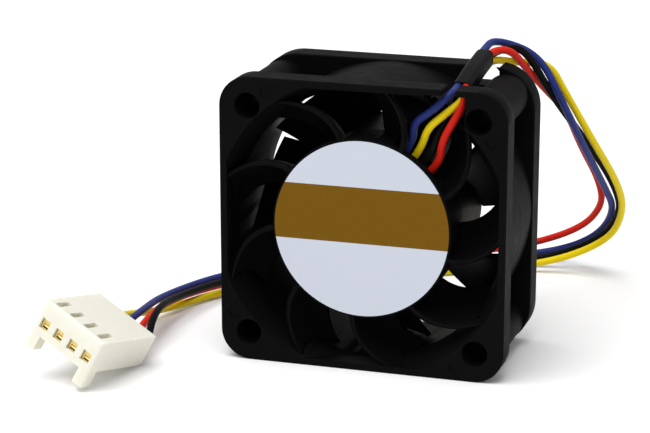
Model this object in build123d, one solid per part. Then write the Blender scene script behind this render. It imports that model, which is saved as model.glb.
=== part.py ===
from build123d import *
import math
import os

# A 40 mm square, 20 mm deep axial fan with a two-ball-bearing brushless motor.
# The fan stands on the floor z = 0. The outlet face with the label looks along -Y, X is to the right of it.

# Frame
frame_side = 40.0
frame_depth = 20.0
front_corner_radius = 4.2
rear_corner_radius = 6.0
flange_thickness = 3.8
hole_inset = 4.0
hole_diameter = 3.5
post_wall = 1.3
bore_side_wall = 1.2
duct_wall = 1.05
rim_width = 1.0
outlet_flare = 1.9
inlet_round = 2.0
ejector_mark_diameter = 1.7
ejector_mark_depth = 0.12
ejector_mark_across = 2.7
ejector_mark_up = 2.05

# Wire passages in the frame
front_notch_left = 8.6
front_notch_width = 5.6
front_notch_lip = 0.8
front_notch_height = 4.6
front_notch_depth = 5.2
front_slit_left = 10.9
front_slit_width = 1.9
rear_notch_left = 10.9
rear_notch_width = 4.0
rear_notch_depth = 2.7

# Motor base and guide vanes
base_diameter = 25.0
base_wall = 1.0
base_plate = 1.2
base_depth_share = 0.3
base_boss_wall = 1.1
base_boss_height = 1.4
label_diameter = 24.4
label_thickness = 0.12
label_setback = 0.25
vane_count = 9
vane_first_angle = 23.8
vane_sweep = 15.0
vane_sweep_power = 1.57
vane_turn = 17.0
vane_thickness = 0.9
vane_bow = 1.1
wire_window_from = 36.0
wire_window_to = 71.0

# Impeller
blade_count = 7
blade_first_angle = 50.0
blade_root_turn = 34.0
blade_tip_turn = 38.0
blade_lean = 6.0
blade_thickness = 0.9
blade_bow = 1.2
blade_inset = 0.4
tip_gap = 0.5
hub_diameter = 24.6
hub_wall = 1.0
hub_end_wall = 1.2
hub_setback = 1.0
hub_gap = 0.6
hub_edge_round = 0.8
hub_dimple_diameter = 10.0
hub_dimple_depth = 0.3

# Rotor magnet and steel yoke
yoke_wall = 0.8
yoke_inset = 0.4
magnet_wall = 1.3
magnet_inset = 0.4
magnet_floor_gap = 1.43
air_gap = 0.35

# Stator
pole_count = 4
core_short = 1.8
core_shift = 0.2
core_hub_wall = 1.5
pole_width = 2.4
pole_shoe = 1.05
pole_slot = 2.6
insulator_plate = 0.5
insulator_rim = 1.5
insulator_rim_wall = 0.6
winding_build = 1.1
winding_length = 1.9
board_thickness = 0.8
board_clearance = 0.2
board_room = 2.7
pin_diameter = 0.6
pin_rise = 0.5
chip_side = 3.0
chip_height = 0.9
sensor_length = 2.9
sensor_width = 1.6
sensor_height = 1.1
sensor_inset = 2.1
capacitor_length = 1.6
capacitor_width = 0.8

# Shaft, bearings and their tube
shaft_diameter = 2.0
shaft_end_gap = 0.6
shaft_hold = 0.6
bearing_diameter = 6.0
bearing_width = 2.5
front_bearing_setback = 2.75
ring_wall = 0.62
ball_count = 7
ball_radius = 0.48
ball_clearance = 0.02
cage_wall = 0.5
cage_width = 0.5
cage_offset = 0.25
shield_thickness = 0.12
shield_gap = 0.06
tube_wall = 0.9
tube_shoulder = 0.45
boss_diameter = 4.8
boss_spigot_diameter = 3.2
boss_rise = 0.68
washer_thickness = 0.2
clip_thickness = 0.3
clip_groove_depth = 0.15
clip_wall = 0.75
clip_mouth = 1.2
spring_height = 0.6
spring_thickness = 0.15
shaft_slip = 0.05

# Leads and their plug
lead_diameter = 1.05
lead_bend_share = 0.45
lead_board_gap = 0.08
lead_start_radius = 10.9
lead_start_angle = {"red": 42.5, "black": 49.5, "yellow": 56.5, "blue": 63.5}
lead_plug_order = ("yellow", "blue", "red", "black")
lead_plug_run = 2.2
lead_slack = 0.06
lead_side_in_sleeve = {"red": (1, 1), "black": (-1, -1), "yellow": (1, -1), "blue": (-1, 1)}
sleeve_points_from_top = [(12.0, -4.6, -1.8), (12.12, -0.4, -0.8), (12.24, 3.8, 0.05), (12.4, 9.5, 0.87)]
sleeve_inset = 1.5
sleeve_clearance = 0.02
sleeve_wall = 0.15
lead_front_points = {
    "yellow": [(7.5, -6.5, 31.3), (8.4, -7.2, 34.0), (10.4, -7.2, 35.8), (12.0, -6.6, 37.1)],
    "black": [(8.8, -6.5, 30.3), (9.7, -6.6, 33.0), (10.8, -6.1, 35.5)],
    "blue": [(6.35, -6.6, 31.95), (6.5, -7.4, 34.7), (9.2, -7.7, 36.6), (11.6, -7.0, 39.0)],
    "red": [(10.0, -6.5, 29.2), (10.5, -7.6, 32.4), (12.0, -7.9, 35.2), (13.5, -7.0, 37.9)],
}
lead_rear_points = {
    "yellow": [
        (16.0, 12.5, 40.3), (19.8, 14.8, 39.3), (21.6, 16.2, 34.9), (24.6, 22.6, 26.6),
        (27.2, 31.8, 18.1), (27.3, 38.0, 12.4), (23.6, 42.0, 6.2), (13.1, 42.9, 0.65), (-5.0, 33.0, 0.65),
        (-27.6, 16.6, 0.65), (-33.6, 4.0, 0.65), (-35.6, -5.0, 3.0),
    ],
    "black": [
        (14.5, 12.5, 41.4), (17.7, 14.8, 40.4), (20.3, 18.0, 33.8), (23.8, 25.2, 25.6),
        (25.9, 34.6, 17.4), (26.0, 40.4, 11.6), (21.8, 44.0, 5.5), (12.2, 45.8, 0.65), (-5.6, 35.6, 0.65),
        (-27.6, 19.9, 1.3), (-31.7, 3.0, 2.8), (-30.7, -7.0, 4.0),
    ],
    "blue": [
        (12.9, 14.0, 42.6), (18.0, 16.8, 39.8), (20.6, 20.8, 32.6), (22.8, 28.8, 23.6),
        (24.4, 37.6, 16.2), (24.7, 43.2, 10.8), (20.4, 47.0, 4.8), (11.0, 48.6, 0.65), (-6.6, 38.4, 0.65),
        (-30.2, 22.6, 0.65), (-34.9, 6.0, 2.5), (-33.5, -6.5, 4.4),
    ],
    "red": [
        (15.6, 10.9, 41.5), (17.9, 12.0, 39.4), (19.8, 13.3, 36.1), (21.8, 16.8, 32.0),
        (23.2, 23.2, 25.4), (23.9, 33.8, 17.8), (23.3, 39.8, 12.5), (18.4, 46.0, 6.8), (7.0, 51.4, 0.75),
        (-8.0, 40.4, 1.3), (-18.6, 31.0, 2.1), (-29.2, 21.3, 1.9), (-33.4, 5.0, 2.5), (-31.9, -7.0, 4.1),
    ],
}
pin_pitch = 2.54
plug_width = 10.7
plug_length = 13.0
plug_height = 4.9
plug_corner = 0.8
plug_front_round = 0.5
plug_window = 1.4
plug_window_height = 1.8
plug_cavity = 1.9
plug_face_wall = 0.5
plug_slot_length = 3.0
plug_slot_width = 0.9
plug_slot_from_front = 0.75
plug_ear_width = 2.0
plug_ear_length = 2.0
plug_ear_drop = 2.2
plug_ear_round = 0.35
plug_at = (-36.5, -28.05)
plug_yaw = -15.5
plug_pitch = -6.2
plug_roll = 27.1
terminal_side = 1.5
terminal_wall = 0.25
terminal_mouth = 0.66
terminal_length = 6.0
terminal_crimp = 2.5
rest_clearance = 0.05

# Sizes that follow from the ones above. Heights run along the fan axis, from the middle towards the label.
front = frame_depth / 2
rear = -frame_depth / 2
hole_pitch = frame_side - 2 * hole_inset
bore_radius = frame_side / 2 - bore_side_wall
hole_radius = hole_diameter / 2
post_radius = hole_radius + post_wall
base_radius = base_diameter / 2
base_front = front - label_setback - label_thickness
base_back = base_front - base_plate
base_edge = base_front - base_depth_share * frame_depth
hub_radius = hub_diameter / 2
hub_front = base_edge - hub_gap
hub_rear = rear + hub_setback
hub_inside = hub_rear + hub_end_wall
tip_radius = bore_radius - tip_gap
yoke_radius = hub_radius - hub_wall
yoke_inside = hub_inside + yoke_wall
yoke_edge = hub_front - yoke_inset
magnet_outside = yoke_radius - yoke_wall
magnet_inside = magnet_outside - magnet_wall
magnet_front = yoke_edge - magnet_inset
magnet_rear = yoke_inside + magnet_floor_gap
magnet_length = magnet_front - magnet_rear
magnet_middle = magnet_front - magnet_length / 2
bearing_radius = bearing_diameter / 2
shaft_radius = shaft_diameter / 2
tube_radius = bearing_radius + tube_wall
core_radius = magnet_inside - air_gap
core_hub_radius = tube_radius + core_hub_wall
core_stack = magnet_length - core_short
core_middle = magnet_middle + core_shift
core_front = core_middle + core_stack / 2
core_rear = core_middle - core_stack / 2
shoe_inside = core_radius - pole_shoe
board_front = base_back - board_room
board_back = board_front - board_thickness
board_radius = base_radius - base_wall - board_clearance
sensor_radius = board_radius - sensor_inset
boss_front = yoke_inside + boss_rise
rear_bearing_low = boss_front + spring_height
rear_seat = rear_bearing_low + bearing_width
front_seat = base_front - front_bearing_setback - bearing_width
pitch_radius = (shaft_radius + bearing_radius) / 2
inner_ring_radius = shaft_radius + ring_wall
outer_ring_inside = bearing_radius - ring_wall
clip_low = front_seat + bearing_width + washer_thickness
shaft_front = base_front - shaft_end_gap
shaft_rear = hub_inside - shaft_hold
lead_spacing = lead_diameter + lead_slack
sleeve_points = [Vector(x, y, frame_side + up) for x, y, up in sleeve_points_from_top]
lead_height = board_front + lead_diameter / 2 + lead_board_gap
terminal_back = plug_face_wall + terminal_length + terminal_crimp

fan_axis = Location(Plane(origin=(0, 0, frame_side / 2), x_dir=(1, 0, 0), z_dir=(0, -1, 0)))
hole_places = [Pos(x * hole_pitch / 2, y * hole_pitch / 2) for x in (-1, 1) for y in (-1, 1)]
on_base = (Align.CENTER, Align.CENTER, Align.MIN)


def disc(radius, low, high):
    """A plain cylinder about the fan axis between two heights."""
    return Pos(0, 0, low) * Cylinder(radius, high - low, align=on_base)


def ring(inside, outside, low, high):
    """A plain ring about the fan axis between two heights."""
    return disc(outside, low, high) - disc(inside, low, high)


def turned(*points):
    """A solid turned about the fan axis from a closed outline of (radius, height) points."""
    return revolve(make_face(Plane.XZ * Polyline(*points, close=True)), Axis.Z)


def around(count, first=0.0):
    """Evenly spaced turns about the fan axis."""
    return [Rot(0, 0, first + 360 / count * index) for index in range(count)]


def air_path():
    """The space inside the duct: rounded inlet, straight bore, and an outlet that flares into the corners."""
    bell = bore_radius + inlet_round
    bell_middle = inlet_round * (1 - math.sqrt(0.5))
    inlet = ThreePointArc(
        (bell, rear), (bore_radius + bell_middle, rear + bell_middle), (bore_radius, rear + inlet_round)
    )
    rest = Polyline(
        (bore_radius, rear + inlet_round),
        (bore_radius, front - flange_thickness),
        (bore_radius + outlet_flare, front),
        (0, front),
        (0, rear),
        (bell, rear),
    )
    mouth_side = frame_side - 2 * rim_width
    return revolve(make_face(Plane.XZ * (inlet + rest)), Axis.Z) & Box(mouth_side, mouth_side, frame_depth)


def make_frame():
    """The moulded frame: two square flanges on a round duct, with a post around each screw hole."""
    front_flange = extrude(RectangleRounded(frame_side, frame_side, front_corner_radius), flange_thickness)
    rear_flange = extrude(RectangleRounded(frame_side, frame_side, rear_corner_radius), flange_thickness)
    middle = Circle(bore_radius + duct_wall) + [place * Circle(post_radius) for place in hole_places]
    body = Pos(0, 0, rear) * rear_flange + Pos(0, 0, front - flange_thickness) * front_flange
    body += Pos(0, 0, rear) * extrude(middle, frame_depth)
    body -= air_path()
    body -= [place * Cylinder(hole_radius, frame_depth) for place in hole_places]
    for turn in around(4):
        mark = Pos(-hole_pitch / 2 + ejector_mark_across, hole_pitch / 2 + ejector_mark_up)
        body -= turn * mark * disc(ejector_mark_diameter / 2, front - ejector_mark_depth, front)
    top = frame_side / 2
    front_notch = Box(front_notch_width, front_notch_height, front_notch_depth,
                      align=(Align.MIN, Align.MAX, Align.MAX))
    body -= Pos(front_notch_left, top - front_notch_lip, front) * front_notch
    front_slit = Box(front_slit_width, front_notch_lip, flange_thickness,
                     align=(Align.MIN, Align.MAX, Align.MAX))
    body -= Pos(front_slit_left, top, front) * front_slit
    rear_notch = Box(rear_notch_width, rear_notch_depth, flange_thickness,
                     align=(Align.MIN, Align.MAX, Align.MIN))
    return body - Pos(rear_notch_left, top, rear) * rear_notch


def curved_strip(radius, angle, turn, low, high, bow, thickness):
    """One cut through a blade, on the plane that touches the cylinder of this radius.

    The strip's front end is at this angle and its rear end lies the turn further round. It bows so that
    its front end runs nearly along the axis.
    """
    half = radius * math.radians(turn) / 2
    middle = math.radians(angle + turn / 2)
    outward = Vector(math.cos(middle), math.sin(middle), 0)
    along = Vector(-math.sin(middle), math.cos(middle), 0)
    plane = Plane(origin=outward * radius, x_dir=along, z_dir=outward)
    lean = math.atan2(2 * half, high - low)
    across = Vector(math.cos(lean), math.sin(lean)) * (thickness / 2)
    front_end = Vector(-half, high)
    rear_end = Vector(half, low)
    bend = (front_end + rear_end) * 0.5 - across.normalized() * math.copysign(bow, turn)
    one_side = ThreePointArc(front_end + across, bend + across, rear_end + across)
    other_side = ThreePointArc(rear_end - across, bend - across, front_end - across)
    outline = [one_side, Line(one_side @ 1, other_side @ 0), other_side, Line(other_side @ 1, one_side @ 0)]
    return plane * make_face(outline)


def swept_angle(radius):
    """How far a guide vane's front edge has swept round at this radius."""
    reach = max(radius - base_radius, 0) / (bore_radius - base_radius)
    return vane_sweep * reach**vane_sweep_power


def make_motor_base():
    """The cup that carries the motor, held in the duct by swept guide vanes that straighten the air."""
    vane_radii = [
        base_radius - base_wall / 2,
        (base_radius + bore_radius) / 2,
        bore_radius,
        bore_radius + duct_wall + inlet_round,
    ]
    cuts = [
        curved_strip(r, vane_first_angle + swept_angle(r), vane_turn, base_edge, base_front,
                     vane_bow, vane_thickness)
        for r in vane_radii
    ]
    vane = loft(cuts) & ring(base_radius - base_wall / 2, frame_side, base_edge, base_front)
    cup = turned(
        (tube_radius, base_front),
        (base_radius, base_front),
        (base_radius, base_edge),
        (base_radius - base_wall, base_edge),
        (base_radius - base_wall, base_back),
        (tube_radius + base_boss_wall, base_back),
        (tube_radius + base_boss_wall, base_back - base_boss_height),
        (tube_radius, base_back - base_boss_height),
    )
    window_face = Plane.XZ * Polyline(
        (base_radius - 2 * base_wall, board_front),
        (base_radius + base_wall, board_front),
        (base_radius + base_wall, base_back),
        (base_radius - 2 * base_wall, base_back),
        close=True,
    )
    window = Rot(0, 0, wire_window_from) * revolve(
        make_face(window_face), Axis.Z, wire_window_to - wire_window_from
    )
    return (cup + [turn * vane for turn in around(vane_count)] - window) & air_path()


def make_impeller():
    """The hub cup with its blades, leaning from the inlet edge round to the outlet edge."""
    end_middle = hub_edge_round * (1 - math.sqrt(0.5))
    rounding = ThreePointArc(
        (hub_radius - hub_edge_round, hub_rear),
        (hub_radius - end_middle, hub_rear + end_middle),
        (hub_radius, hub_rear + hub_edge_round),
    )
    rest = Polyline(
        (hub_radius, hub_rear + hub_edge_round),
        (hub_radius, hub_front),
        (yoke_radius, hub_front),
        (yoke_radius, hub_inside),
        (shaft_radius, hub_inside),
        (shaft_radius, shaft_rear),
        (0, shaft_rear),
        (0, hub_rear + hub_dimple_depth),
        (hub_dimple_diameter / 2, hub_rear + hub_dimple_depth),
        (hub_dimple_diameter / 2, hub_rear),
        (hub_radius - hub_edge_round, hub_rear),
    )
    hub = revolve(make_face(Plane.XZ * (rounding + rest)), Axis.Z)
    inside = hub_radius - hub_wall / 2
    outside = bore_radius + inlet_round
    cuts = []
    for share in (0, 0.5, 1):
        turn = blade_root_turn + share * (blade_tip_turn - blade_root_turn)
        front_angle = blade_first_angle + share * blade_lean + turn
        cuts.append(
            curved_strip(inside + share * (outside - inside), front_angle, -turn,
                         hub_rear + blade_inset, hub_front - blade_inset, blade_bow, blade_thickness)
        )
    blade = loft(cuts) & ring(inside, tip_radius, rear, front)
    return hub + [turn * blade for turn in around(blade_count)]


def make_rotor_yoke():
    """The drawn steel cup pressed into the hub, which closes the magnet's field."""
    return turned(
        (boss_spigot_diameter / 2, hub_inside),
        (yoke_radius, hub_inside),
        (yoke_radius, yoke_edge),
        (magnet_outside, yoke_edge),
        (magnet_outside, yoke_inside),
        (boss_spigot_diameter / 2, yoke_inside),
    )


def make_shaft_boss():
    """The turned bush that joins the shaft to the yoke."""
    return turned(
        (shaft_radius, hub_inside),
        (boss_spigot_diameter / 2, hub_inside),
        (boss_spigot_diameter / 2, yoke_inside),
        (boss_diameter / 2, yoke_inside),
        (boss_diameter / 2, boss_front),
        (shaft_radius, boss_front),
    )


def make_shaft():
    """The ground shaft with a groove for its retaining clip."""
    groove = ring(shaft_radius - clip_groove_depth, shaft_radius, clip_low, clip_low + clip_thickness)
    return disc(shaft_radius, shaft_rear, shaft_front) - groove


def make_retaining_clip():
    """The open clip in the shaft's groove."""
    inside = shaft_radius - clip_groove_depth
    clip = ring(inside, inside + clip_wall, clip_low, clip_low + clip_thickness)
    mouth = Box(inside + clip_wall, clip_mouth, clip_thickness, align=(Align.MIN, Align.CENTER, Align.MIN))
    return clip - Pos(0, 0, clip_low) * mouth


def make_preload_spring():
    """The dished washer between the bush and the rear bearing, which takes up the play of both bearings."""
    inside = shaft_radius + shaft_slip
    return turned(
        (inside, rear_bearing_low - spring_thickness),
        (inside, rear_bearing_low),
        (boss_diameter / 2, boss_front + spring_thickness),
        (boss_diameter / 2, boss_front),
    )


def make_bearing_tube():
    """The brass tube that holds both bearings against an inner shoulder."""
    return turned(
        (bearing_radius, base_front),
        (tube_radius, base_front),
        (tube_radius, rear_bearing_low),
        (bearing_radius, rear_bearing_low),
        (bearing_radius, rear_seat),
        (bearing_radius - tube_shoulder, rear_seat),
        (bearing_radius - tube_shoulder, front_seat),
        (bearing_radius, front_seat),
    )


def make_bearing(low):
    """One ball bearing that starts at this height: its rings, shields, balls and cage."""
    middle = low + bearing_width / 2
    high = low + bearing_width
    race = Pos(0, 0, middle) * Torus(pitch_radius, ball_radius + ball_clearance)
    spots = [turn * Pos(pitch_radius, 0, middle) for turn in around(ball_count)]
    crown = ring(pitch_radius - cage_wall / 2, pitch_radius + cage_wall / 2,
                 middle + cage_offset, middle + cage_offset + cage_width)
    shield_edge = inner_ring_radius + shield_gap
    return {
        "inner_ring": ring(shaft_radius, inner_ring_radius, low, high) - race,
        "outer_ring": ring(outer_ring_inside, bearing_radius, low, high) - race,
        "shields": Compound([
            ring(shield_edge, outer_ring_inside, low, low + shield_thickness),
            ring(shield_edge, outer_ring_inside, high - shield_thickness, high),
        ]),
        "balls": Compound([spot * Sphere(ball_radius) for spot in spots]),
        "cage": crown - [spot * Sphere(ball_radius + ball_clearance) for spot in spots],
    }


def core_outline():
    """The outline of one stator lamination: a hub ring and wide-headed poles."""
    outline = Circle(core_radius) - Circle(shoe_inside)
    slot = Rectangle(core_radius, pole_slot, align=(Align.MIN, Align.CENTER))
    neck = Rectangle(shoe_inside + pole_shoe / 2, pole_width, align=(Align.MIN, Align.CENTER))
    outline -= [turn * slot for turn in around(pole_count, 180 / pole_count)]
    outline += [turn * neck for turn in around(pole_count)]
    return outline + Circle(core_hub_radius) - Circle(tube_radius)


def make_insulator(toward, collar_end):
    """A moulded end cap on the core: a plate on the laminations and a rim that holds the wire in."""
    plate = extrude(core_outline(), insulator_plate)
    heads = core_outline() & (Circle(shoe_inside + insulator_rim_wall) - Circle(shoe_inside))
    rim = Pos(0, 0, insulator_plate) * extrude(heads, insulator_rim)
    collar = ring(tube_radius, tube_radius + base_boss_wall, 0, collar_end)
    cap = plate + rim + collar
    if toward < 0:
        return Pos(0, 0, core_rear) * Rot(180, 0, 0) * cap
    return Pos(0, 0, core_front) * cap


def make_windings():
    """One coil on each pole, wound over the core and both end caps."""
    inner_height = core_stack + 2 * insulator_plate
    coil = Rectangle(pole_width + 2 * winding_build, inner_height + 2 * winding_build)
    coil = fillet(coil.vertices(), winding_build) - Rectangle(pole_width, inner_height)
    end = math.sqrt(shoe_inside**2 - (pole_width / 2 + winding_build) ** 2)
    start = Plane(origin=(end - winding_length, 0, core_middle), x_dir=(0, 1, 0), z_dir=(1, 0, 0))
    one = extrude(start * coil, winding_length)
    return Compound([turn * one for turn in around(pole_count)])


def make_winding_pins():
    """The pins that stand on the front end cap's rims and carry the wire ends through the board."""
    low = core_front + insulator_plate + insulator_rim
    pin = Pos(shoe_inside + insulator_rim_wall / 2, 0) * disc(pin_diameter / 2, low, board_front + pin_rise)
    return Compound([turn * pin for turn in around(pole_count)])


def make_circuit_board():
    """The round driver board around the bearing tube."""
    pin_hole = Pos(shoe_inside + insulator_rim_wall / 2, 0) * disc(pin_diameter / 2, board_back, board_front)
    board = ring(tube_radius, board_radius, board_back, board_front)
    return board - [turn * pin_hole for turn in around(pole_count)]


def on_board(angle, radius, length, width, height, below=False):
    """A small square-edged part on the front or the back of the board."""
    low = board_back - height if below else board_front
    return Rot(0, 0, angle) * Pos(radius, 0, low) * Box(length, width, height, align=on_base)


def plug_pin_across(index):
    """How far a plug pin lies from the middle of the row."""
    return (index - (len(lead_plug_order) - 1) / 2) * pin_pitch


def make_plug_housing():
    """The moulded plug: a row of square contact windows, a lock slot over each, and two ears at the front."""
    middle_row = (Align.CENTER, Align.MIN, Align.MIN)
    body = Box(plug_width, plug_length, plug_height, align=middle_row)
    body = fillet(body.edges().filter_by(Axis.Y), plug_corner)
    body = fillet(body.faces().sort_by(Axis.Y)[0].edges(), plug_front_round)
    for side in (-1, 1):
        ear = Box(plug_ear_width, plug_ear_length, plug_ear_drop + plug_corner,
                  align=(Align.CENTER, Align.MIN, Align.MAX))
        ear = fillet(ear.edges().filter_by(Axis.Y).group_by(Axis.Z)[0], plug_ear_round)
        body += Pos(side * (plug_width - plug_ear_width) / 2, 0, plug_corner) * ear
    centre_of_height = (Align.CENTER, Align.MIN, Align.CENTER)
    for index in range(len(lead_plug_order)):
        across = plug_pin_across(index)
        window = Box(plug_window, plug_face_wall, plug_window, align=centre_of_height)
        cavity = Box(plug_cavity, plug_length - plug_face_wall, plug_cavity, align=centre_of_height)
        slot = extrude(SlotOverall(plug_slot_length, plug_slot_width, rotation=90), plug_height)
        body -= Pos(across, 0, plug_window_height) * window
        body -= Pos(across, plug_face_wall, plug_window_height) * cavity
        body -= Pos(across, plug_slot_from_front + plug_slot_length / 2, plug_window_height) * slot
    return body


def make_plug_terminals():
    """The folded contacts inside the plug, each with a crimp on its wire."""
    centre_of_height = (Align.CENTER, Align.MIN, Align.CENTER)
    terminals = []
    for index in range(len(lead_plug_order)):
        place = Pos(plug_pin_across(index), plug_face_wall, plug_window_height)
        box = Box(terminal_side, terminal_length, terminal_side, align=centre_of_height)
        inside = terminal_side - 2 * terminal_wall
        hole = Box(inside, terminal_length - terminal_wall, terminal_mouth,
                   align=(Align.CENTER, Align.MIN, Align.MIN))
        crimp = Rot(-90, 0, 0) * Cylinder(lead_diameter / 2, terminal_crimp, align=on_base)
        terminals.append(place * (box - Pos(0, 0, -inside / 2) * hole + Pos(0, terminal_length, 0) * crimp))
    return Compound(terminals)


def plug_location(housing):
    """Where the plug lies: tipped on its right edge by the stiff leads, just touching the floor."""
    tipped = Rot(0, plug_roll, 0) * Rot(plug_pitch, 0, 0) * Rot(0, 0, plug_yaw)
    lift = rest_clearance - (tipped * housing).bounding_box().min.Z
    return Pos(*plug_at, lift) * tipped


def smooth_route(points):
    """Straight runs through these points with an arc on each corner, and the radius of each arc."""
    radii = []
    for before, at, after in zip(points, points[1:], points[2:]):
        turn = math.radians((at - before).get_angle(after - at))
        shorter = min((at - before).length, (after - at).length)
        radii.append(lead_bend_share * shorter / math.tan(turn / 2))
    return FilletPolyline(*points, radius=radii), radii


def make_lead_sleeve():
    """The shrunk tube that binds the four leads between the flanges, drawn tight on their square bundle."""
    points = list(sleeve_points)
    points[0] += (points[1] - points[0]).normalized() * sleeve_inset
    points[-1] -= (points[-1] - points[-2]).normalized() * sleeve_inset
    route, radii = smooth_route(points)
    inside = lead_spacing + lead_diameter + 2 * sleeve_clearance
    outside = inside + 2 * sleeve_wall
    inside_round = lead_diameter / 2 + sleeve_clearance
    across = Vector(1, 0, 0)
    section = RectangleRounded(outside, outside, inside_round + sleeve_wall)
    section -= RectangleRounded(inside, inside, inside_round)
    return sweep(Plane(origin=route @ 0, x_dir=across, z_dir=route % 0) * section, path=route)


def make_lead(colour, plug_place):
    """One lead from the board, out through the notches and round to its crimp in the plug."""
    across = plug_pin_across(lead_plug_order.index(colour))
    start = Rot(0, 0, lead_start_angle[colour]) * Pos(lead_start_radius, 0, lead_height)
    side, level = lead_side_in_sleeve[colour]
    aside = Vector(side, 0, level) * (lead_spacing / 2)
    into_plug = [plug_place * Pos(across, along, plug_window_height)
                 for along in (plug_length + lead_plug_run, terminal_back)]
    points = [(fan_axis * start).position]
    points += [Vector(*point) for point in lead_front_points[colour]]
    points += [point + aside for point in sleeve_points]
    points += [Vector(*point) for point in lead_rear_points[colour]]
    points += [place.position for place in into_plug]
    route, radii = smooth_route(points)
    section = Plane(origin=route @ 0, z_dir=route % 0) * Circle(lead_diameter / 2)
    lead = sweep(section, path=route)
    filled = lead.volume / (math.pi * lead_diameter**2 / 4 * route.length)
    print(f"lead_{colour}: {route.length:.1f} mm, filled {filled:.4f}, bends",
          " ".join(f"{radius:.1f}" for radius in radii))
    return lead


nodes = {
    "frame": make_frame(),
    "motor_base": make_motor_base(),
    "label": disc(label_diameter / 2, base_front, base_front + label_thickness),
    "bearing_tube": make_bearing_tube(),
    "impeller": make_impeller(),
    "rotor_yoke": make_rotor_yoke(),
    "magnet_ring": ring(magnet_inside, magnet_outside, magnet_rear, magnet_front),
    "shaft_boss": make_shaft_boss(),
    "shaft": make_shaft(),
    "shaft_washer": ring(shaft_radius, inner_ring_radius, clip_low - washer_thickness, clip_low),
    "retaining_clip": make_retaining_clip(),
    "preload_spring": make_preload_spring(),
    "stator_core": Pos(0, 0, core_rear) * extrude(core_outline(), core_stack),
    "front_insulator": make_insulator(1, board_back - core_front),
    "rear_insulator": make_insulator(-1, core_rear - rear_bearing_low),
    "windings": make_windings(),
    "winding_pins": make_winding_pins(),
    "circuit_board": make_circuit_board(),
    "driver_chip": on_board(200, (tube_radius + board_radius) / 2, chip_side, chip_side, chip_height),
    "hall_sensor": on_board(135, sensor_radius, sensor_width, sensor_length, sensor_height, below=True),
    "chip_capacitors": Compound([
        on_board(angle, (tube_radius + board_radius) / 2, capacitor_width, capacitor_length, capacitor_width)
        for angle in (110, 150, 245, 300)
    ]),
}
for end, low in (("front", front_seat), ("rear", rear_bearing_low)):
    for piece, shape in make_bearing(low).items():
        nodes[f"{end}_bearing_{piece}"] = shape
nodes = {name: fan_axis * shape for name, shape in nodes.items()}

housing = make_plug_housing()
plug_place = plug_location(housing)
nodes["plug_housing"] = plug_place * housing
nodes["plug_terminals"] = plug_place * make_plug_terminals()
nodes["lead_sleeve"] = make_lead_sleeve()
for colour in lead_plug_order:
    nodes[f"lead_{colour}"] = make_lead(colour, plug_place)

os.makedirs("parts", exist_ok=True)
for name, shape in nodes.items():
    export_step(shape, f"parts/{name}.step")
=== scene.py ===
import math

import bpy
from mathutils import Matrix, Vector


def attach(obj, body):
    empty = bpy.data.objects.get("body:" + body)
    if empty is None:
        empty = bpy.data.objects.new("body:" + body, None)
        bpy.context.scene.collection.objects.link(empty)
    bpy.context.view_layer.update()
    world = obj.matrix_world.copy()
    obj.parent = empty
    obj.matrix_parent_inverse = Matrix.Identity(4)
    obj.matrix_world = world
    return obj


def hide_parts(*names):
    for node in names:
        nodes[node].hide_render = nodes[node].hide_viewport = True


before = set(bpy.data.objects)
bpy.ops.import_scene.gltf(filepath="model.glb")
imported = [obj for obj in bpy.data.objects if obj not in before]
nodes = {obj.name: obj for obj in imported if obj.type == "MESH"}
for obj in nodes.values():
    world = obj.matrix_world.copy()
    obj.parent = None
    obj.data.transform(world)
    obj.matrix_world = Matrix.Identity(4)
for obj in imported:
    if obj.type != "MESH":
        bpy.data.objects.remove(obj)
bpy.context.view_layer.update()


# Frame: one glass-filled black moulding, two square flanges on a round duct with a post at each screw hole.
# It comes out of the mould with a fine eroded texture, paler where the glass shows,
# and the outside edges keep the small round that the mould's cutter left.
class Finish:
    """A shader socket that takes part in plain sums, so that a surface reads as a formula."""

    def __init__(self, tree, socket):
        self.tree = tree
        self.socket = socket

    def node(self, kind, settings=None, sockets=None, output=0):
        """Adds a node, sets it up, fills its sockets with values or links, and gives one of its outputs."""
        made = self.tree.nodes.new("ShaderNode" + kind)
        for name, value in (settings or {}).items():
            setattr(made, name, value)
        for name, value in (sockets or {}).items():
            if isinstance(value, Finish):
                self.tree.links.new(value.socket, made.inputs[name])
            else:
                made.inputs[name].default_value = value
        return Finish(self.tree, made.outputs[output])

    def sum(self, operation, one, other):
        """One step of arithmetic on two values or links."""
        return self.node("Math", {"operation": operation}, {0: one, 1: other})

    def __add__(self, other):
        return self.sum("ADD", self, other)

    __radd__ = __add__

    def __sub__(self, other):
        return self.sum("SUBTRACT", self, other)

    def __rsub__(self, other):
        return self.sum("SUBTRACT", other, self)

    def __mul__(self, other):
        return self.sum("MULTIPLY", self, other)

    __rmul__ = __mul__

    def __gt__(self, other):
        return self.sum("GREATER_THAN", self, other)

    def __lt__(self, other):
        return self.sum("LESS_THAN", self, other)

    def noise(self, per_metre, detail=2.0):
        """A soft random value from 0 to 1, with about this many changes in a metre."""
        return self.node("TexNoise", {}, {"Vector": self, "Scale": per_metre, "Detail": detail})

    def tint(self, share, low, high):
        """A colour between two others, each a plain colour or one that was mixed before."""
        low = low if isinstance(low, Finish) else (*low, 1)
        high = high if isinstance(high, Finish) else (*high, 1)
        return self.node("Mix", {"data_type": "RGBA"}, {0: share, 6: low, 7: high}, 2)

    def relief(self, height, depth, strength=1.0):
        """The surface normal over a height from 0 to 1 that stands this many metres deep."""
        return self.node("Bump", {}, {"Height": height, "Distance": depth, "Strength": strength})


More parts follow.
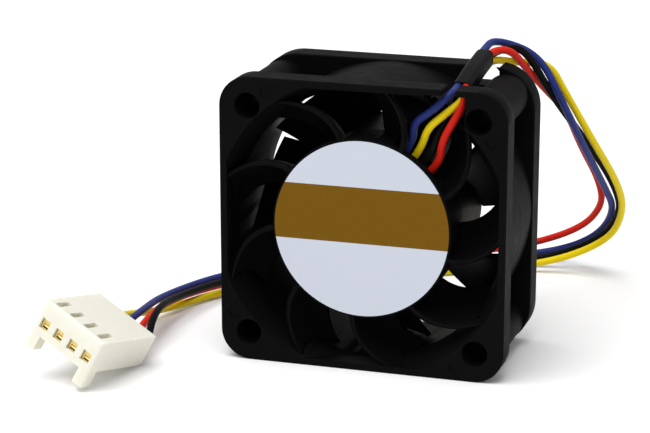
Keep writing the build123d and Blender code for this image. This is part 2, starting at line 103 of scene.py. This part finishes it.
def start_finish(name, **fixed):
    """A new material with its constant values set, and the place on the piece that its pattern reads."""
    material = bpy.data.materials.new(name)
    material.use_nodes = True
    tree = material.node_tree
    shader = tree.nodes["Principled BSDF"]
    for socket, value in fixed.items():
        shader.inputs[socket.replace("_", " ")].default_value = value
    place = Finish(tree, tree.nodes.new("ShaderNodeTexCoord").outputs["Object"])
    return material, shader, place


def feed(shader, place, **varying):
    """Links what changes over the surface to the shader."""
    for socket, value in varying.items():
        place.tree.links.new(value.socket, shader.inputs[socket.replace("_", " ")])


def dress(piece, material):
    """Gives a piece this one material."""
    piece.data.materials.clear()
    piece.data.materials.append(material)


def soften(name, body, width, on_edge):
    """A copy of a solid with a small round on the sharp edges that lie where on_edge says."""
    same_spot, sharp_turn = 0.000002, math.radians(50)
    soft = bpy.data.objects.new(f"{name}_rounded", nodes[name].data.copy())
    bpy.context.scene.collection.objects.link(soft)
    bpy.ops.object.select_all(action="DESELECT")
    soft.select_set(True)
    bpy.context.view_layer.objects.active = soft
    bpy.ops.object.mode_set(mode="EDIT")
    bpy.ops.mesh.select_mode(type="EDGE")
    bpy.ops.mesh.select_all(action="SELECT")
    bpy.ops.mesh.remove_doubles(threshold=same_spot)
    bpy.ops.mesh.select_all(action="DESELECT")
    bpy.ops.mesh.edges_select_sharp(sharpness=sharp_turn)
    bpy.ops.object.mode_set(mode="OBJECT")
    spots = soft.data.vertices
    for edge in soft.data.edges:
        edge.select = edge.select and all(on_edge(spots[corner].co) for corner in edge.vertices)
    bpy.ops.object.mode_set(mode="EDIT")
    bpy.ops.mesh.bevel(offset=width, segments=2, affect="EDGES", clamp_overlap=False)
    bpy.ops.object.mode_set(mode="OBJECT")
    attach(soft, body)
    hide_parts(name)
    return soft


half_side, axis_height = 0.020, 0.020
corner_radii = (0.0042, 0.0060)
hole_offset, hole_radius = 0.016, 0.00175
frame_round = 0.00018
close = 0.00001


def on_frame_outline(spot):
    """Whether a corner lies on a flange's outside edge or on the rim of a screw hole."""
    across, up = abs(spot.x), abs(spot.z - axis_height)
    for radius in corner_radii:
        middle = half_side - radius
        if min(across, up) > middle and abs(math.hypot(across - middle, up - middle) - radius) < close:
            return True
    from_hole = math.hypot(across - hole_offset, up - hole_offset)
    return max(across, up) > half_side - close or abs(from_hole - hole_radius) < close


def moulded_black(name, low, high, rough):
    """Black glass-filled plastic between two shades, with the mould's grain."""
    material, shader, place = start_finish(name)
    shader.inputs["Specular IOR Level"].default_value = 0.03
    grain = place.noise(2600, 3.0)
    fleck = (place.noise(5200, 1.0) > 0.72) * 0.35
    feed(
        shader,
        place,
        Base_Color=place.tint(0.65 * place.noise(90) + fleck, low, high),
        Roughness=rough + 0.2 * place.noise(420),
        Normal=place.relief(grain, 0.00004, 0.5),
    )
    return material


black = moulded_black("moulded_black", (0.0018, 0.0019, 0.0022), (0.0050, 0.0051, 0.0056), 0.45)
dress(soften("frame", "stator", frame_round, on_frame_outline), black)

# Motor base: the round cup that carries the motor, with nine swept guide vanes that end in the duct wall.
# It is part of the frame's moulding, and its front edges are rounded by the same cutter.
vane_round, vane_front = 0.0001, -0.00962
dress(soften("motor_base", "stator", vane_round, lambda spot: spot.y < vane_front), black)


# Label: a round film of pale plastic stuck to the motor base, with one printed ochre band and no words.
# The film is smooth and glossy, with a faint ripple from the adhesive under it.
band_low, band_high = -0.0020, 0.0058


def label_film():
    """Pale film with its band, which runs level across the label."""
    material, shader, place = start_finish("label_film", Coat_Weight=0.02, Coat_Roughness=0.15)
    shader.inputs["Specular IOR Level"].default_value = 0.08
    up = place.node("SeparateXYZ", {}, {"Vector": place}, "Z") - axis_height
    band = (up > band_low) * (up < band_high)
    grain = place.noise(5200)
    film = place.tint(grain, (0.51, 0.545, 0.62), (0.57, 0.60, 0.675))
    ink = place.tint(grain, (0.130, 0.060, 0.0002), (0.185, 0.090, 0.0005))
    feed(
        shader,
        place,
        Base_Color=place.tint(band, film, ink),
        Roughness=0.32 + 0.12 * place.noise(700),
        Normal=place.relief(place.noise(260), 0.00006, 0.25),
    )
    return material


dress(nodes["label"], label_film())

# Impeller: the hub cup and its seven leaning blades, moulded in one piece and pressed onto the steel yoke.
# It is the same black plastic as the frame, polished a little smoother so that dust doesn't cling.
smooth_black = moulded_black("smooth_black", (0.0026, 0.0026, 0.0029), (0.0060, 0.0060, 0.0064), 0.34)
dress(nodes["impeller"], smooth_black)


# Motor pieces inside the base and the hub: steel, brass, copper, nylon, magnet and board.
# They are pressed, wound or soldered together on the bearing tube, and show only as slivers
# between the vanes and through the wire window.
def plain_metal(name, low, high, rough):
    """Bare metal between two shades, with fine tool marks."""
    material, shader, place = start_finish(name, Metallic=1.0)
    feed(
        shader,
        place,
        Base_Color=place.tint(place.noise(900), low, high),
        Roughness=rough + 0.15 * place.noise(2400),
        Normal=place.relief(place.noise(4000, 3.0), 0.00002, 0.3),
    )
    return material


def plain_moulding(name, low, high, rough):
    """Plastic or ceramic between two shades, with a fine grain."""
    material, shader, place = start_finish(name)
    feed(
        shader,
        place,
        Base_Color=place.tint(place.noise(600), low, high),
        Roughness=rough + 0.15 * place.noise(1800),
        Normal=place.relief(place.noise(3000, 3.0), 0.00003, 0.3),
    )
    return material


steel = plain_metal("ground_steel", (0.42, 0.42, 0.43), (0.56, 0.56, 0.56), 0.25)
brass = plain_metal("turned_brass", (0.55, 0.38, 0.12), (0.66, 0.48, 0.18), 0.25)
copper = plain_metal("enamelled_copper", (0.42, 0.13, 0.04), (0.58, 0.22, 0.08), 0.3)
nylon = plain_moulding("natural_nylon", (0.62, 0.58, 0.48), (0.72, 0.69, 0.58), 0.4)
ferrite = plain_moulding("bonded_ferrite", (0.018, 0.016, 0.016), (0.04, 0.036, 0.035), 0.55)
board_mask = plain_moulding("board_mask", (0.008, 0.07, 0.02), (0.015, 0.11, 0.035), 0.3)
ceramic = plain_moulding("fired_ceramic", (0.3, 0.2, 0.11), (0.42, 0.3, 0.18), 0.45)
inside_finishes = {
    "bearing_tube": brass,
    "rotor_yoke": steel,
    "magnet_ring": ferrite,
    "shaft_boss": brass,
    "shaft": steel,
    "shaft_washer": nylon,
    "retaining_clip": steel,
    "preload_spring": steel,
    "stator_core": steel,
    "front_insulator": nylon,
    "rear_insulator": nylon,
    "windings": copper,
    "winding_pins": brass,
    "circuit_board": board_mask,
    "driver_chip": black,
    "hall_sensor": black,
    "chip_capacitors": ceramic,
}
for end in ("front", "rear"):
    for piece in ("inner_ring", "outer_ring", "shields", "balls", "cage"):
        inside_finishes[f"{end}_bearing_{piece}"] = steel
for name, finish in inside_finishes.items():
    dress(nodes[name], finish)

# Plug: a housing moulded in ivory nylon, with four contact windows, a lock slot over each and two ears.
# Its long edges come sharp from the mould's parting line and only the front is rounded to lead it in.
# The nylon lets a little light in, so its recesses stay pale.
plug_across, plug_along, plug_up = 0.0107, 0.0130, 0.0049
ear_across, ear_along, ear_drop = 0.0017, 0.0020, 0.0022
window_side, window_up, front_wall = 0.0015, 0.0018, 0.0005
cavity_side = 0.0019
slot_across, slot_from, slot_to, slot_round = 0.0009, 0.00075, 0.00375, 0.0003
front_round, foot_round = 0.0004, 0.00025
past_face, slot_top = 0.001, 0.006
pin_pitch = 0.00254
pin_places = [(index - 1.5) * pin_pitch for index in range(4)]
plug_place = (
    Matrix.Translation((-0.0365, -0.02805, 0.00494))
    @ Matrix.Rotation(math.radians(27.1), 4, "Y")
    @ Matrix.Rotation(math.radians(-6.2), 4, "X")
    @ Matrix.Rotation(math.radians(-15.5), 4, "Z")
)


def block(name, low, high):
    """A square block between two corners."""
    bpy.ops.object.select_all(action="DESELECT")
    bpy.ops.mesh.primitive_cube_add(size=1)
    made = bpy.context.object
    made.name = name
    bpy.ops.object.mode_set(mode="EDIT")
    bpy.ops.transform.resize(value=[end - start for start, end in zip(low, high)])
    bpy.ops.transform.translate(value=[(start + end) / 2 for start, end in zip(low, high)])
    bpy.ops.object.mode_set(mode="OBJECT")
    return made


def round_edges(piece, width, steps, wanted):
    """Rounds the edges whose two ends satisfy wanted."""
    bpy.context.view_layer.objects.active = piece
    bpy.ops.object.mode_set(mode="EDIT")
    bpy.ops.mesh.select_mode(type="EDGE")
    bpy.ops.mesh.select_all(action="DESELECT")
    bpy.ops.object.mode_set(mode="OBJECT")
    for edge in piece.data.edges:
        edge.select = wanted(*(piece.data.vertices[end].co for end in edge.vertices))
    bpy.ops.object.mode_set(mode="EDIT")
    bpy.ops.mesh.bevel(offset=width, segments=steps, affect="EDGES")
    bpy.ops.object.mode_set(mode="OBJECT")


def cut(piece, tool):
    """Takes a block out of a piece."""
    change = piece.modifiers.new("cut", "BOOLEAN")
    change.operation = "DIFFERENCE"
    change.solver = "EXACT"
    change.object = tool
    bpy.context.view_layer.objects.active = piece
    bpy.ops.object.modifier_apply(modifier="cut")
    bpy.data.objects.remove(tool)


def settle(piece):
    """Lays a piece of the plug where the plug lies, with its place in its mesh."""
    bpy.ops.object.select_all(action="DESELECT")
    piece.select_set(True)
    bpy.context.view_layer.objects.active = piece
    bpy.ops.object.mode_set(mode="EDIT")
    bpy.ops.mesh.select_all(action="SELECT")
    bpy.ops.mesh.normals_make_consistent(inside=False)
    bpy.ops.object.mode_set(mode="OBJECT")
    piece.matrix_world = plug_place
    bpy.ops.object.transform_apply(location=True, rotation=True, scale=True)
    bpy.ops.object.shade_smooth_by_angle(angle=math.radians(35))
    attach(piece, "stator")


plug = block("plug_moulding", (-plug_across / 2, 0, 0), (plug_across / 2, plug_along, plug_up))
bpy.ops.object.mode_set(mode="EDIT")
ear_inside = plug_across / 2 - ear_across
ear_cuts = [
    ((ear_inside, 0, 0), (1, 0, 0)),
    ((-ear_inside, 0, 0), (1, 0, 0)),
    ((0, ear_along, 0), (0, 1, 0)),
]
for spot, facing in ear_cuts:
    bpy.ops.mesh.select_all(action="SELECT")
    bpy.ops.mesh.bisect(plane_co=spot, plane_no=facing)
bpy.ops.mesh.select_mode(type="FACE")
bpy.ops.mesh.select_all(action="DESELECT")
bpy.ops.object.mode_set(mode="OBJECT")
for face in plug.data.polygons:
    face.select = face.normal.z < -0.9 and abs(face.center.x) > ear_inside and face.center.y < ear_along
bpy.ops.object.mode_set(mode="EDIT")
bpy.ops.mesh.extrude_region_move(TRANSFORM_OT_translate={"value": (0, 0, -ear_drop)})
bpy.ops.object.mode_set(mode="OBJECT")


def at_front(*ends):
    """The front's top edge and its two upright edges down to the ears."""
    on_face = all(end.y < close for end in ends)
    upright = all(abs(end.x) > plug_across / 2 - close for end in ends)
    return on_face and (upright or all(end.z > plug_up - close for end in ends))


def along_foot(*ends):
    """The long lower edges that the plug lies on, behind the ears."""
    outside = all(abs(end.x) > plug_across / 2 - close and abs(end.z) < close for end in ends)
    to_back = max(end.y for end in ends) > plug_along - close
    from_ears = min(end.y for end in ends) < plug_along / 2
    return outside and to_back and from_ears


round_edges(plug, front_round, 4, at_front)
round_edges(plug, foot_round, 3, along_foot)
for across in pin_places:
    for side, start, end in (
        (window_side, -past_face, past_face),
        (cavity_side, front_wall, plug_along + past_face),
    ):
        half = side / 2
        low = (across - half, start, window_up - half)
        cut(plug, block("tool", low, (across + half, end, window_up + half)))
    half = slot_across / 2
    tool = block("tool", (across - half, slot_from, window_up), (across + half, slot_to, slot_top))
    round_edges(tool, slot_round, 4, lambda *ends: abs(ends[0].z - ends[1].z) > slot_round)
    cut(plug, tool)
settle(plug)
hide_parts("plug_housing")
ivory = plain_moulding("ivory_nylon", (0.72, 0.70, 0.60), (0.79, 0.775, 0.68), 0.4)
ivory_shader = ivory.node_tree.nodes["Principled BSDF"]
ivory_shader.inputs["Subsurface Weight"].default_value = 0.4
ivory_shader.inputs["Subsurface Radius"].default_value = (0.0012, 0.0011, 0.0008)
ivory_shader.inputs["Subsurface Scale"].default_value = 1.0
dress(plug, ivory)

# Contacts: brass strip folded to a square tube and crimped on the wire's end, with a leaf bent up inside it.
# Each is pushed in from the back of the plug until its barb snaps into the lock slot.
gilt = plain_metal("gilt_brass", (0.86, 0.68, 0.26), (0.94, 0.78, 0.36), 0.42)
dress(nodes["plug_terminals"], gilt)
leaf_across, leaf_thick, leaf_front, leaf_back = 0.00092, 0.00012, 0.00062, 0.0011
leaf_rise, leaf_round = 0.00046, 0.00004
for across in pin_places:
    half, low_up = leaf_across / 2, window_up - leaf_rise
    low = (across - half, leaf_front, low_up)
    leaf = block("contact_leaf", low, (across + half, leaf_back, low_up + leaf_thick))
    bpy.ops.object.mode_set(mode="EDIT")
    bpy.ops.mesh.select_mode(type="FACE")
    bpy.ops.mesh.select_all(action="DESELECT")
    bpy.ops.object.mode_set(mode="OBJECT")
    for face in leaf.data.polygons:
        face.select = face.normal.y > 0.9
    bpy.ops.object.mode_set(mode="EDIT")
    bpy.ops.transform.translate(value=(0, 0, leaf_rise))
    bpy.ops.object.mode_set(mode="OBJECT")
    round_edges(leaf, leaf_round, 2, lambda *ends: abs(ends[0].x - ends[1].x) > half)
    settle(leaf)
    dress(leaf, gilt)


# Leads: stranded copper in coloured vinyl, soldered to the board and crimped in the plug.
# They come out of the wire window, pass the front notch, run in one sleeve over the frame's top,
# and hang down behind it to the floor.
lead_radius = 0.000525
lead_step = 0.000555
bundle_route = [(12.0, -4.6, 38.2), (12.12, -0.4, 39.2), (12.24, 3.8, 40.05), (12.4, 9.5, 40.87)]
lead_sides = {"yellow": (1, -1), "blue": (-1, 1), "red": (1, 1), "black": (-1, -1)}
before_bundle = {
    "yellow": [(6.02, -6.34, 29.09), (7.5, -6.5, 31.3), (8.4, -7.2, 34.0), (10.4, -7.2, 35.8), (12.0, -6.6, 37.1)],
    "blue": [(4.86, -6.34, 29.75), (6.35, -6.6, 31.95), (6.5, -7.4, 34.7), (9.2, -7.7, 36.6), (11.6, -7.0, 39.0)],
    "red": [(8.04, -6.34, 27.36), (10.0, -6.5, 29.2), (10.5, -7.6, 32.4), (12.0, -7.9, 35.2), (13.5, -7.0, 37.9)],
    "black": [(7.08, -6.34, 28.29), (8.8, -6.5, 30.3), (9.7, -6.6, 33.0), (10.8, -6.1, 35.5)],
}
after_bundle = {
    "yellow": [
        (15.6, 14.6, 38.9), (19.1, 19.3, 38.1), (21.2, 20.6, 33.7), (24.8, 23.6, 26.2), (27.25, 31.8, 17.9),
        (27.3, 37.6, 12.0), (24.2, 41.8, 5.7), (13.2, 42.4, 0.65), (-5.0, 33.0, 0.65), (-27.6, 19.6, 0.65),
        (-34.5, 3.8, 0.8), (-35.8, -5.0, 3.1), (-36.11, -12.28, 4.7), (-37.29, -18.22, 6.03),
    ],
    "blue": [
        (12.2, 14.2, 42.2), (18.1, 16.8, 39.8), (21.6, 15.7, 33.9), (23.8, 22.8, 25.2), (25.0, 32.2, 17.4),
        (25.4, 41.0, 11.0), (20.9, 46.6, 4.3), (11.0, 47.8, 0.65), (-6.6, 38.6, 0.9), (-19.6, 30.4, 1.9),
        (-30.0, 21.6, 1.9), (-34.8, 6.0, 2.6), (-33.7, -6.0, 3.9), (-33.9, -12.96, 3.65), (-35.08, -18.9, 4.98),
    ],
    "red": [
        (15.4, 10.9, 41.5), (17.0, 14.4, 38.0), (18.9, 19.2, 34.0), (21.0, 22.9, 30.5), (21.9, 29.7, 23.7),
        (23.2, 38.3, 16.4), (23.3, 41.8, 11.5), (18.9, 45.6, 6.1), (7.2, 50.2, 0.75), (-8.0, 41.2, 0.65),
        (-28.0, 23.2, 0.75), (-33.1, 6.0, 2.4), (-32.0, -6.5, 3.8), (-31.68, -13.63, 2.6), (-32.86, -19.57, 3.93),
    ],
    "black": [
        (14.6, 12.6, 41.5), (17.0, 13.8, 40.8), (20.1, 16.8, 33.9), (23.6, 25.2, 25.6), (26.0, 35.2, 17.0),
        (26.6, 39.8, 11.2), (22.3, 43.8, 5.1), (12.3, 45.1, 0.65), (-5.6, 35.6, 0.65), (-27.4, 20.8, 2.0),
        (-31.5, 3.4, 3.6), (-30.9, -7.6, 5.0), (-29.47, -14.31, 1.55), (-30.65, -20.25, 2.88),
    ],
}
lead_colours = {
    "yellow": ((0.68, 0.50, 0.001), (0.78, 0.60, 0.003)),
    "blue": ((0.012, 0.022, 0.13), (0.022, 0.036, 0.19)),
    "red": ((0.50, 0.008, 0.003), (0.62, 0.018, 0.006)),
    "black": ((0.0025, 0.003, 0.003), (0.006, 0.0065, 0.006)),
}


black_gloss, colour_gloss = 0.04, 0.12


def vinyl(colour):
    """Soft vinyl of one colour, faintly rippled by the strands under it."""
    low, high = lead_colours[colour]
    material, shader, place = start_finish(f"{colour}_vinyl")
    shader.inputs["Specular IOR Level"].default_value = black_gloss if colour == "black" else colour_gloss
    feed(
        shader,
        place,
        Base_Color=place.tint(place.noise(500), low, high),
        Roughness=0.34 + 0.15 * place.noise(1500),
        Normal=place.relief(place.noise(1800), 0.00005, 0.3),
    )
    return material


for colour, (side, level) in lead_sides.items():
    route = [[length / 1000 for length in spot] for spot in before_bundle[colour]]
    for across, along, up in bundle_route:
        route.append([across / 1000 + side * lead_step, along / 1000, up / 1000 + level * lead_step])
    route += [[length / 1000 for length in spot] for spot in after_bundle[colour]]
    line = bpy.data.curves.new(f"lead_{colour}_vinyl", "CURVE")
    line.dimensions = "3D"
    spline = line.splines.new("NURBS")
    spline.points.add(len(route) - 1)
    for point, spot in zip(spline.points, route):
        point.co = (*spot, 1)
    spline.order_u = 3
    spline.use_endpoint_u = True
    spline.resolution_u = 10
    line.bevel_depth = lead_radius
    line.bevel_resolution = 4
    line.use_fill_caps = True
    lead = bpy.data.objects.new(f"lead_{colour}_vinyl", line)
    bpy.context.scene.collection.objects.link(lead)
    dress(lead, vinyl(colour))
    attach(lead, "stator")
    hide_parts(f"lead_{colour}")

# Sleeve: a short length of black shrink tube over the four leads where they cross the frame's top.
# It is shrunk on with hot air, so it lies tight on the bundle and its ends are cut square.
dress(nodes["lead_sleeve"], vinyl("black"))

# Studio: a pale floor, one broad soft light above and a weaker one from the left.
# The camera stands where the photograph's did, fitted to the frame's corners and screw holes.
bpy.ops.object.select_all(action="DESELECT")
bpy.ops.mesh.primitive_plane_add(size=6, location=(0, 0, 0))
floor = bpy.context.object
floor.name = "floor"
floor_finish, floor_shader, floor_place = start_finish("pale_floor", Roughness=0.7)
floor_shader.inputs["Specular IOR Level"].default_value = 0.1
feed(
    floor_shader,
    floor_place,
    Base_Color=floor_place.tint(floor_place.noise(3), (0.90, 0.90, 0.90), (0.92, 0.92, 0.92)),
)
dress(floor, floor_finish)


def soft_light(name, spot, aim, side, watts):
    """A square area light turned toward a spot."""
    lamp = bpy.data.lights.new(name, "AREA")
    lamp.shape = "SQUARE"
    lamp.size = side
    lamp.energy = watts
    light = bpy.data.objects.new(name, lamp)
    light.location = spot
    light.rotation_euler = (Vector(aim) - Vector(spot)).to_track_quat("-Z", "Y").to_euler()
    bpy.context.scene.collection.objects.link(light)


soft_light("top_light", (-0.1, -0.25, 0.9), (0, 0, 0.02), 0.8, 9)
soft_light("left_light", (-0.7, -0.5, 0.35), (0, 0, 0.02), 0.4, 0.3)

world = bpy.data.worlds.new("studio")
world.use_nodes = True
world.node_tree.nodes["Background"].inputs["Color"].default_value = (1, 1, 1, 1)
world.node_tree.nodes["Background"].inputs["Strength"].default_value = 0.6
bpy.context.scene.world = world
bpy.context.scene.view_settings.view_transform = "Standard"

focal_pixels = 2369.131
picture_width = 650
lens_data = bpy.data.cameras.new("camera")
lens_data.sensor_width = 36
lens_data.lens = lens_data.sensor_width * focal_pixels / picture_width
lens_data.clip_start = 0.01
camera = bpy.data.objects.new("camera", lens_data)
camera.location = (0.08662, -0.30282, 0.10930)
camera.rotation_euler = Vector((-0.2870, 0.9176, -0.2752)).to_track_quat("-Z", "Y").to_euler()
bpy.context.scene.collection.objects.link(camera)
bpy.context.scene.camera = camera
